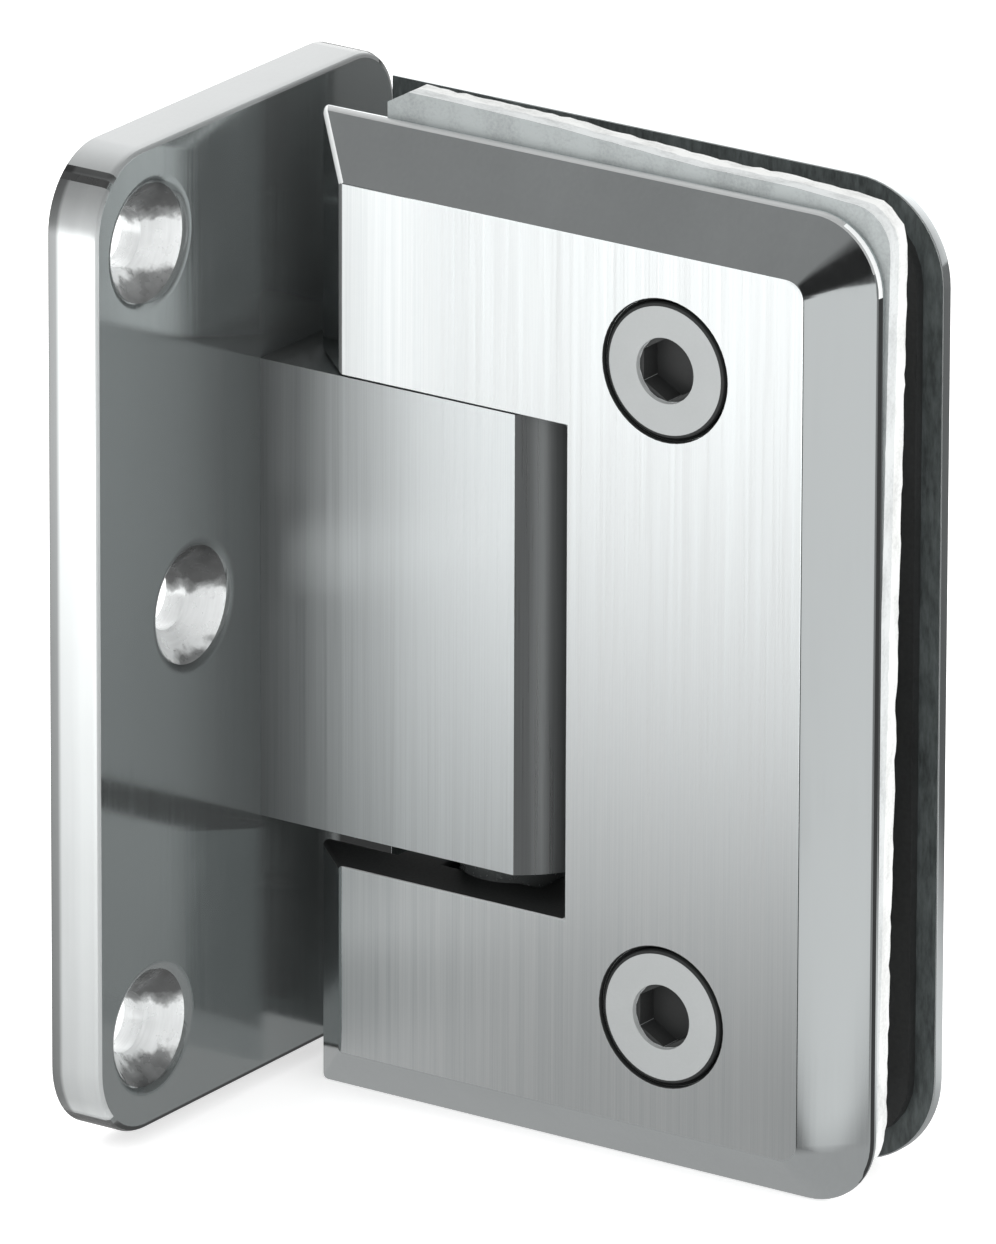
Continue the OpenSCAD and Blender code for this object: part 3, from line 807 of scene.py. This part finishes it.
class HINGE_OT_finishes(bpy.types.Operator):
    """Makes the metals, gaskets and nylon"""

    bl_idname = "hinge.finishes"
    bl_label = "Make Finishes"

    def execute(self, context):
        tone = context.scene.hinge_finishes
        FINISHES.update({
            # the wall plate's face gets painted shade on its lower rear corner
            "wall": polished_steel("WallPlateSteel", tone.wall, 0.1, 0.85, 1.0,
                                   corner=PAINTED_SHADE_CORNER),
            # the rim gets painted shade over its corners and along its edge against the wall
            "rim": polished_steel("WallPlateRim", tone.rim, 0.2, 0.5, drifts=RIM_PAINTED_SHADE),
            # the rim's top is a darker copy of the rim's steel, as painted shade
            "rim_top": polished_steel("WallPlateTopPaintedShade", scaled(tone.rim, 0.55), 0.16, 0.55),
            "cone": countersink_steel("CountersinkPaintedLight", tone.cone),
            # a painted glint on the mitres and the top of the right lip
            "mitre": polished_steel("MitrePaintedGlint", tone.cone, 0.2, 0.2),
            # a painted highlight along the upper lip and the lower ear's top front edge
            "lip": polished_steel("LipPaintedHighlight", scaled(tone.cone, 0.5), 0.2, 0.3),
            # a dark grey, as painted shade on the rounded edge beside the upper left bevel
            "land": turned_steel("LandEdgePaintedShade", scaled(tone.screw, 0.45), 0.5, 0.15),
            "polished": polished_steel("PolishedSteel", tone.polished),
            # the clamp face, the block and its nose get painted light and shade along X; the nose's
            # steel is also a darker copy, as painted shade
            "brushed": brushed_steel("BrushedSteel", scaled(tone.brushed, 1.2), CLAMP_PAINTED_LIGHT,
                                     matt=MATT_CORNER),
            "block": brushed_steel("BlockSteel", tone.brushed, BLOCK_PAINTED_SHADE),
            "nose": brushed_steel("NosePaintedShade", scaled(tone.brushed, 0.52), NOSE_PAINTED_BANDS, 0.3, 0.75),
            # painted shade for the notch, the screw holes and heads, and edges out of the light
            "painted_shade": turned_steel("PaintedShadeSteel", tone.painted_shade, 0.6, 0.3),
            # the back plate's border round the dark gasket: painted shade with upright streaks
            "border": shade_streaked_steel("BackBorderPaintedShade", tone.border),
            # a darker copy of the screw steel, as painted shade in the hex sockets
            "socket": turned_steel("SocketPaintedShade", scaled(tone.screw, 0.1), 0.55, 0.2),
            "screw": turned_steel("ScrewSteel", tone.screw, 0.5, 0.15),
            "pin": turned_steel("GroundPinSteel", tone.pin, 0.22),
            "spring": turned_steel("SpringSteel", scaled(tone.pin, 0.8), 0.35),
            "brass": oiled_brass("BushBrass", tone.brass),
            "pale": pale_rubber("PaleGasket", tone.pale),
            # darker copies of the pale gasket, as painted shade by the front plate
            "cut": pale_rubber("PaleGasketSidePaintedShade", tone.cut, 0.03),
            "pale_front_shade": pale_rubber("PaleGasketFrontPaintedShade", tone.pale_front_shade, 0.04),
            "dark": dark_rubber("DarkGasket", tone.dark),
            "nylon": moulded_nylon("SleeveNylon", tone.nylon),
        })
        return {"FINISHED"}


class HINGE_OT_wall_plate(bpy.types.Operator):
    """Eases the wall plate's edges and polishes it"""

    bl_idname = "hinge.wall_plate"
    bl_label = "Wall Plate"

    def execute(self, context):
        size = context.scene.hinge_edges
        low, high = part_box("wall_plate")
        rim = 0.3 * MM
        corner = 7 * MM
        rear_end = 8 * MM

        def at_wall(middle):
            outer = (middle.y < low.y + corner or middle.y > high.y - corner
                     or abs(middle.z) > high.z - rim)
            return middle.x < low.x + rim and outer

        piece = lift_shape("wall_plate", "WallPlate")
        stretch(piece, (0, size.plate_reach, 0), lambda point: point.y > high.y - rear_end)
        ease_edges(piece, size.back_edge, 3, at_wall)
        ease_edges(piece, size.plate_edge, 2, lambda middle: middle.x > high.x - rim)
        finish_piece(piece, "wall_plate", "wall", "polished_steel",
                     ("rim", turns_from_wall), ("rim_top", on_top), ("cone", in_hole))
        return {"FINISHED"}


class HINGE_OT_pivot_block(bpy.types.Operator):
    """Eases the pivot block's edges and brushes it"""

    bl_idname = "hinge.pivot_block"
    bl_label = "Pivot Block"

    def execute(self, context):
        size = context.scene.hinge_edges
        piece = lift_shape("pivot_block", "PivotBlock")
        ease_edges(piece, size.block_edge, 2)
        finish_piece(piece, "pivot_block", "block", "brushed_steel", ("nose", on_nose))
        return {"FINISHED"}


class HINGE_OT_clamp_plates(bpy.types.Operator):
    """Eases the two clamp plates, brushes their faces and polishes their bevels"""

    bl_idname = "hinge.clamp_plates"
    bl_label = "Clamp Plates"

    def execute(self, context):
        size = context.scene.hinge_edges
        front = lift_shape("front_clamp_plate", "FrontClampPlate")
        low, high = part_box("front_clamp_plate")
        face_y = low.y + 0.2 * MM
        lip_y = high.y - 2 * MM
        level = (low.z + high.z) / 2

        def share(middle):
            if middle.y < face_y:
                on_land = abs(middle.x - LAND_X) < LAND_NEAR
                return (size.land_edge if on_land else size.face_edge) / size.lip_edge
            if off_screw(middle, level) < SCREW_R:
                return 0
            return 1 if middle.y < lip_y else size.face_edge / size.lip_edge

        ease_by_share(front, size.lip_edge, share)
        # the notch, the lower ear's mitre, the right lip below its glint and the screw holes get
        # painted shade
        finish_piece(front, "front_clamp_plate", "polished", "brushed_steel",
                     ("brushed", faces_front), ("painted_shade", in_notch), ("lip", on_upper_lip),
                     ("mitre", on_mitre), ("painted_shade", in_shade), ("painted_shade", in_screw_hole),
                     ("land", on_land_edge))
        back = lift_shape("back_clamp_plate", "BackClampPlate")
        left_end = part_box("back_clamp_plate")[0].x + 6 * MM
        stretch(back, (-size.back_reach, 0, 0), lambda point: point.x < left_end)
        ease_edges(back, size.face_edge, 2)
        # the back plate's notch and flat left side get painted shade
        finish_piece(back, "back_clamp_plate", "polished", "polished_steel",
                     ("border", faces_front), ("painted_shade", in_notch), ("painted_shade", turns_left))
        return {"FINISHED"}


class HINGE_OT_gaskets(bpy.types.Operator):
    """Trims the pale gasket unevenly and lays the dark one behind it"""

    bl_idname = "hinge.gaskets"
    bl_label = "Gaskets"

    def execute(self, context):
        size = context.scene.hinge_edges
        seed = context.scene.hinge_studio.marks
        pale = lift_shape("front_gasket", "PaleGasket")
        low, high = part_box("front_gasket")
        self.score(pale, low, high, size.cut_step)
        self.trim(pale, low, high, size.cut_depth, size.cut_rise, seed)
        finish_piece(pale, "front_gasket", "pale", "white_gasket",
                     ("cut", cut_in_front), ("pale_front_shade", faces_front))
        dark = lift_shape("back_gasket", "DarkGasket")
        low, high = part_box("back_gasket")
        self.score(dark, low, high, 2 * size.cut_step)
        self.trim(dark, low, high, 0.2 * size.cut_depth, 0, seed + 1)
        finish_piece(dark, "back_gasket", "dark", "black_gasket")
        return {"FINISHED"}

    @staticmethod
    def score(piece, low, high, step):
        """Cuts the gasket's outline into short lengths that can be moved one by one."""
        take_up(piece)
        bpy.ops.object.mode_set(mode="EDIT")
        mesh = bmesh.from_edit_mesh(piece.data)
        middle = Vector((0, (low.y + high.y) / 2, 0))
        cuts = [(middle, Vector((0, 1, 0)))]
        for axis in (0, 2):
            normal = Vector((axis == 0, 0, axis == 2))
            count = int((high[axis] - low[axis]) / step)
            cuts += [(low + normal * step * number, normal) for number in range(1, count)]
        for point, normal in cuts:
            whole = mesh.verts[:] + mesh.edges[:] + mesh.faces[:]
            bmesh.ops.bisect_plane(mesh, geom=whole, plane_co=point, plane_no=normal)
        bmesh.update_edit_mesh(piece.data)
        bpy.ops.object.mode_set(mode="OBJECT")

    @staticmethod
    def trim(piece, low, high, depth, rise, seed):
        """Moves the outline's points inwards by an uneven amount, most at the rear, and lifts
        the long top edge, all inside the gasket's box."""
        mesh = bmesh.new()
        mesh.from_mesh(piece.data)
        mesh.normal_update()
        moves = {}
        for vert in mesh.verts:
            out = Vector((0, 0, 0))
            for face in vert.link_faces:
                if abs(face.normal.y) < 0.5:
                    out += face.normal
            # the holes' room is wide, so level 0 is near enough
            if out.length > 0.5 and off_screw(vert.co, 0) > HOLE_ROOM:
                out.normalize()
                uneven = 0.35 + 0.6 * noise.fractal(vert.co / WAVE + Vector((seed, 7, 0)),
                                                    0.7, 2.0, 3)
                nick = max(0.0, noise.noise(vert.co / NICK) - 0.3) * 2
                rear = (vert.co.y - low.y) / (high.y - low.y)
                cut = depth * (0.25 + 0.75 * rear) * min(1.0, max(0.0, uneven + nick))
                along_x = (vert.co.x - low.x) / (high.x - low.x)
                bulge = rise * max(0.0, out.z) ** 4 * min(1.0, 3 * along_x, 5 * (1 - along_x))
                moves[vert] = out * (bulge - cut)
        for vert, move in moves.items():
            place = vert.co + move
            vert.co = [min(max(p, a), b) for p, a, b in zip(place, low, high)]
        mesh.to_mesh(piece.data)
        mesh.free()


class HINGE_OT_screws(bpy.types.Operator):
    """Eases the two clamp screws"""

    bl_idname = "hinge.screws"
    bl_label = "Clamp Screws"

    def execute(self, context):
        size = context.scene.hinge_edges
        for level in ("upper", "lower"):
            node = f"{level}_clamp_screw"
            piece = lift_shape(node, f"{level.title()}ClampScrew", join_flats=False)
            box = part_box(node)
            head_y = box[0].y + HEAD_NEAR
            head_r = (box[1].x - box[0].x) / 2 - HEAD_NEAR

            def on_head(middle):
                return middle.y < head_y and off_axis(middle, box) > head_r

            ease_edges(piece, size.head_edge, 2, on_head)
            ease_edges(piece, size.screw_edge, 2, lambda middle: off_axis(middle, box) < SOCKET_R)
            # the head's turned edge gets painted shade, and its socket a darker copy of the steel as
            # painted shade
            finish_piece(piece, node, "screw", "screw_steel",
                         ("socket", in_socket), ("painted_shade", on_head_edge))
        return {"FINISHED"}


class HINGE_OT_inner_parts(bpy.types.Operator):
    """Gives the pin, bushes, plungers, springs and small screws their metals"""

    bl_idname = "hinge.inner_parts"
    bl_label = "Inner Parts"

    def execute(self, context):
        dress_node("pivot_pin", "pin")
        for level in ("upper", "lower"):
            for part, finish in (
                ("block_screw", "screw"), ("bush", "brass"), ("plunger", "pin"),
                ("spring", "spring"), ("spring_plug", "screw"), ("pin_cap", "screw"),
                ("cap_screws", "screw"), ("sleeve", "nylon"),
            ):
                dress_node(f"{level}_{part}", finish)
        return {"FINISHED"}


class HINGE_OT_studio(bpy.types.Operator):
    """Lays the pale floor, hangs the soft lights and sets the camera"""

    bl_idname = "hinge.studio"
    bl_label = "Studio"

    def execute(self, context):
        setup = context.scene.hinge_studio
        context.scene.view_settings.view_transform = "Standard"
        self.set_camera(context.scene, setup)
        self.lay_floor()
        self.light_room(context.scene, setup)
        self.lay_glow_sheet()
        self.hang_light("KeyLight", KEY_PLACE, KEY_SIZE, setup.key_power)
        self.hang_light("FillLight", FILL_PLACE, FILL_SIZE, setup.fill_power)
        return {"FINISHED"}

    @staticmethod
    def set_camera(scene, setup):
        """Puts the camera at the photograph's angle, slightly off the middle as its frame is."""
        turn, rise = setup.azimuth, setup.elevation
        back = Vector((math.sin(turn) * math.cos(rise), -math.cos(turn) * math.cos(rise),
                       math.sin(rise)))
        level = Vector((math.cos(turn), math.sin(turn), 0))
        upright = back.cross(level)
        across = level * math.cos(setup.roll) + upright * math.sin(setup.roll)
        up = upright * math.cos(setup.roll) - level * math.sin(setup.roll)
        target = Vector(CAMERA_TARGET) * MM
        off_middle = (FRAME_SHIFT[0] * across + FRAME_SHIFT[1] * up) * MM
        camera = bpy.data.cameras.new("PhotoCamera")
        camera.lens = setup.lens
        camera.clip_start = 0.05
        holder = bpy.data.objects.new("PhotoCamera", camera)
        scene.collection.objects.link(holder)
        turned = Matrix((across, up, back)).transposed().to_4x4()
        place = target + back * setup.distance + off_middle
        holder.matrix_world = Matrix.Translation(place) @ turned
        scene.camera = holder

    @staticmethod
    def lay_floor():
        """A wide pale floor just under the hinge."""
        ground = (0, 0, CAD_BOX[0].z - FLOOR_GAP)
        bpy.ops.object.select_all(action="DESELECT")
        bpy.ops.mesh.primitive_plane_add(size=FLOOR_W, location=ground)
        floor = bpy.context.object
        floor.name = "Floor"
        bpy.ops.object.transform_apply(location=True, rotation=False, scale=False)
        finish, tree, shader, place = new_finish("PaleFloor", metallic=0.0, roughness=0.9)
        cloud = grain(tree, place, (400, 400, 400), detail=2)
        tree.links.new(shade_of(tree, cloud, (0.9, 0.9, 0.9), (0.93, 0.93, 0.93)),
                       shader.inputs["Base Color"])
        shader.inputs["Emission Color"].default_value = (1, 1, 1, 1)
        shader.inputs["Emission Strength"].default_value = 0.55
        floor.data.materials.append(finish)
        floor.visible_glossy = False
        floor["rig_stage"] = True

    @staticmethod
    def light_room(scene, setup):
        """A white room for matt surfaces; what steel mirrors in it is bright behind the hinge
        and grey above and in front."""
        room = bpy.data.worlds.new("WhiteRoom")
        room.use_nodes = True
        tree = room.node_tree
        sky = tree.nodes["Background"]
        sky.inputs["Color"].default_value = (1, 1, 1, 1)
        sight = tree.nodes.new("ShaderNodeTexCoord").outputs["Generated"]
        turn, rise = setup.azimuth, setup.elevation
        away = facing(tree, sight, (-math.sin(turn), math.cos(turn), 0))
        mirrored = between(tree, away, setup.ceiling, setup.backdrop, *BACKDROP_SPAN)
        camera = facing(tree, sight, (math.sin(turn) * math.cos(rise),
                                      -math.cos(turn) * math.cos(rise), math.sin(rise)))
        shade = combine(tree, "MULTIPLY", mirrored,
                        between(tree, camera, 1, CAMERA_SHADE, *CAMERA_SPAN))
        ray = tree.nodes.new("ShaderNodeLightPath").outputs["Is Glossy Ray"]
        choice = tree.nodes.new("ShaderNodeMix")
        choice.inputs["A"].default_value = setup.sky
        tree.links.new(ray, choice.inputs["Factor"])
        tree.links.new(shade, choice.inputs["B"])
        tree.links.new(choice.outputs["Result"], sky.inputs["Strength"])
        scene.world = room

    @staticmethod
    def lay_glow_sheet():
        """A bright sheet on the floor that only steel mirrors. It is strong far in front, grey
        under the hinge and dark far behind; on the right in front it goes by direction."""
        bpy.ops.mesh.primitive_circle_add(vertices=48, radius=SHEET_R, fill_type="NGON",
                                          location=(0, 0, CAD_BOX[0].z))
        sheet = bpy.context.object
        sheet.name = "GlowSheet"
        bpy.ops.object.transform_apply(location=True, rotation=False, scale=False)
        for unseen in ("camera", "diffuse", "shadow", "transmission", "volume_scatter"):
            setattr(sheet, f"visible_{unseen}", False)
        finish, tree, shader, place = new_finish("GlowSheet", metallic=0.0, roughness=1.0)
        corner = tree.nodes.new("ShaderNodeVectorMath")
        corner.operation = "SUBTRACT"
        corner.inputs[1].default_value = Vector(GLOW_CORNER) * MM
        tree.links.new(place, corner.inputs[0])
        off = parts(tree, corner.outputs["Vector"])
        front = combine(tree, "MULTIPLY", off["Y"], -1.0)
        turn = combine(tree, "ARCTAN2", off["X"], front)
        by_depth = levels(tree, front, GLOW_DEPTH, MM, GLOW_TOP)
        by_turn = levels(tree, turn, GLOW_TURN, math.radians(1), GLOW_TOP)
        side = combine(tree, "MULTIPLY", between(tree, turn, 0, 1, *SIDE_START),
                       between(tree, turn, 1, 0, *SIDE_END))
        far = between(tree, front, 0, 1, *FRONT_START)
        glow = tree.nodes.new("ShaderNodeMix")
        tree.links.new(combine(tree, "MULTIPLY", side, far), glow.inputs["Factor"])
        tree.links.new(by_depth, glow.inputs["A"])
        tree.links.new(by_turn, glow.inputs["B"])
        lamp = tree.nodes.new("ShaderNodeEmission")
        tree.links.new(combine(tree, "MULTIPLY", glow.outputs["Result"], GLOW_TOP),
                       lamp.inputs["Strength"])
        tree.links.new(lamp.outputs["Emission"], tree.nodes["Material Output"].inputs["Surface"])
        tree.nodes.remove(shader)
        sheet.data.materials.append(finish)
        sheet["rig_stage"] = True

    @staticmethod
    def hang_light(name, place, size, power):
        """A square soft light that looks at the hinge."""
        light = bpy.data.lights.new(name, "AREA")
        light.size = size
        light.energy = power
        holder = bpy.data.objects.new(name, light)
        holder.location = place
        holder.rotation_euler = (-Vector(place)).to_track_quat("-Z", "Y").to_euler()
        holder.visible_glossy = False
        bpy.context.scene.collection.objects.link(holder)


# the middle of the camera's view and how far the photograph's frame lies off it, in millimetres
CAMERA_TARGET = (35, -9.25, 0)
FRAME_SHIFT = (-4.07, 2.695)
# the floor, and the sheet on it that only steel mirrors
FLOOR_W = 12
FLOOR_GAP = 0.05 * MM
SHEET_R = 5
# the two lights
KEY_PLACE, KEY_SIZE = (-0.5, -0.7, 0.9), 0.9
FILL_PLACE, FILL_SIZE = (0.9, -0.6, 0.5), 0.7
# where the mirrored backdrop fades in behind the hinge, and where the mirrored room darkens round
# the camera, both as the cosine of the angle off that way
BACKDROP_SPAN = (0.1, 0.75)
CAMERA_SPAN = (0.86, 0.95)
CAMERA_SHADE = 0.08
# the glow sheet's light goes by millimetres in front of its corner, and on the right by degrees;
# the side where it does so begins and ends at these turns, and begins this far in front
SIDE_START = (math.radians(-2), math.radians(3))
SIDE_END = (math.radians(84), math.radians(92))
FRONT_START = (4 * MM, 14 * MM)
GLOW_TOP = 4.0
GLOW_CORNER = (64, -8, 0)
GLOW_DEPTH = ((-260, 0.2), (-90, 0.12), (-58, 0.7), (-36, 0.8), (-24, 0.41), (30, 0.43), (50, 0.56),
              (80, 0.78), (115, 1.2), (150, 1.6), (200, 2.1), (260, 2.4), (420, 1.3), (900, 0.5),
              (2000, 0.3))
GLOW_TURN = ((0, 0.1), (44, 0.06), (48, 0.75), (56, 0.8), (62, 0.3), (90, 0.15))


STEPS = (
    HINGE_OT_finishes,
    HINGE_OT_wall_plate,
    HINGE_OT_pivot_block,
    HINGE_OT_clamp_plates,
    HINGE_OT_gaskets,
    HINGE_OT_screws,
    HINGE_OT_inner_parts,
    HINGE_OT_studio,
)


class HINGE_PT_panel(bpy.types.Panel):
    """Lists the hinge's pieces and their sizes"""

    bl_idname = "HINGE_PT_panel"
    bl_label = "Glass Door Hinge"
    bl_space_type = "VIEW_3D"
    bl_region_type = "UI"
    bl_category = "Hinge"

    def draw(self, context):
        for step in STEPS:
            self.layout.operator(step.bl_idname)
        for group in (context.scene.hinge_edges, context.scene.hinge_finishes,
                      context.scene.hinge_studio):
            box = self.layout.box()
            for name in group.__annotations__:
                box.prop(group, name)


CLASSES = (HingeEdges, HingeFinishes, HingeStudio, *STEPS, HINGE_PT_panel)


def register():
    for kind in CLASSES:
        bpy.utils.register_class(kind)
    bpy.types.Scene.hinge_edges = PointerProperty(type=HingeEdges)
    bpy.types.Scene.hinge_finishes = PointerProperty(type=HingeFinishes)
    bpy.types.Scene.hinge_studio = PointerProperty(type=HingeStudio)


def unregister():
    del bpy.types.Scene.hinge_studio
    del bpy.types.Scene.hinge_finishes
    del bpy.types.Scene.hinge_edges
    for kind in reversed(CLASSES):
        bpy.utils.unregister_class(kind)


def main():
    register()
    for step in STEPS:
        group, action = step.bl_idname.split(".")
        getattr(getattr(bpy.ops, group), action)()
    boxes = {"cad": CAD_BOX, "visual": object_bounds()}
    {key: [list(corner) for corner in box] for key, box in boxes.items()}


if __name__ == "__main__":
    main()
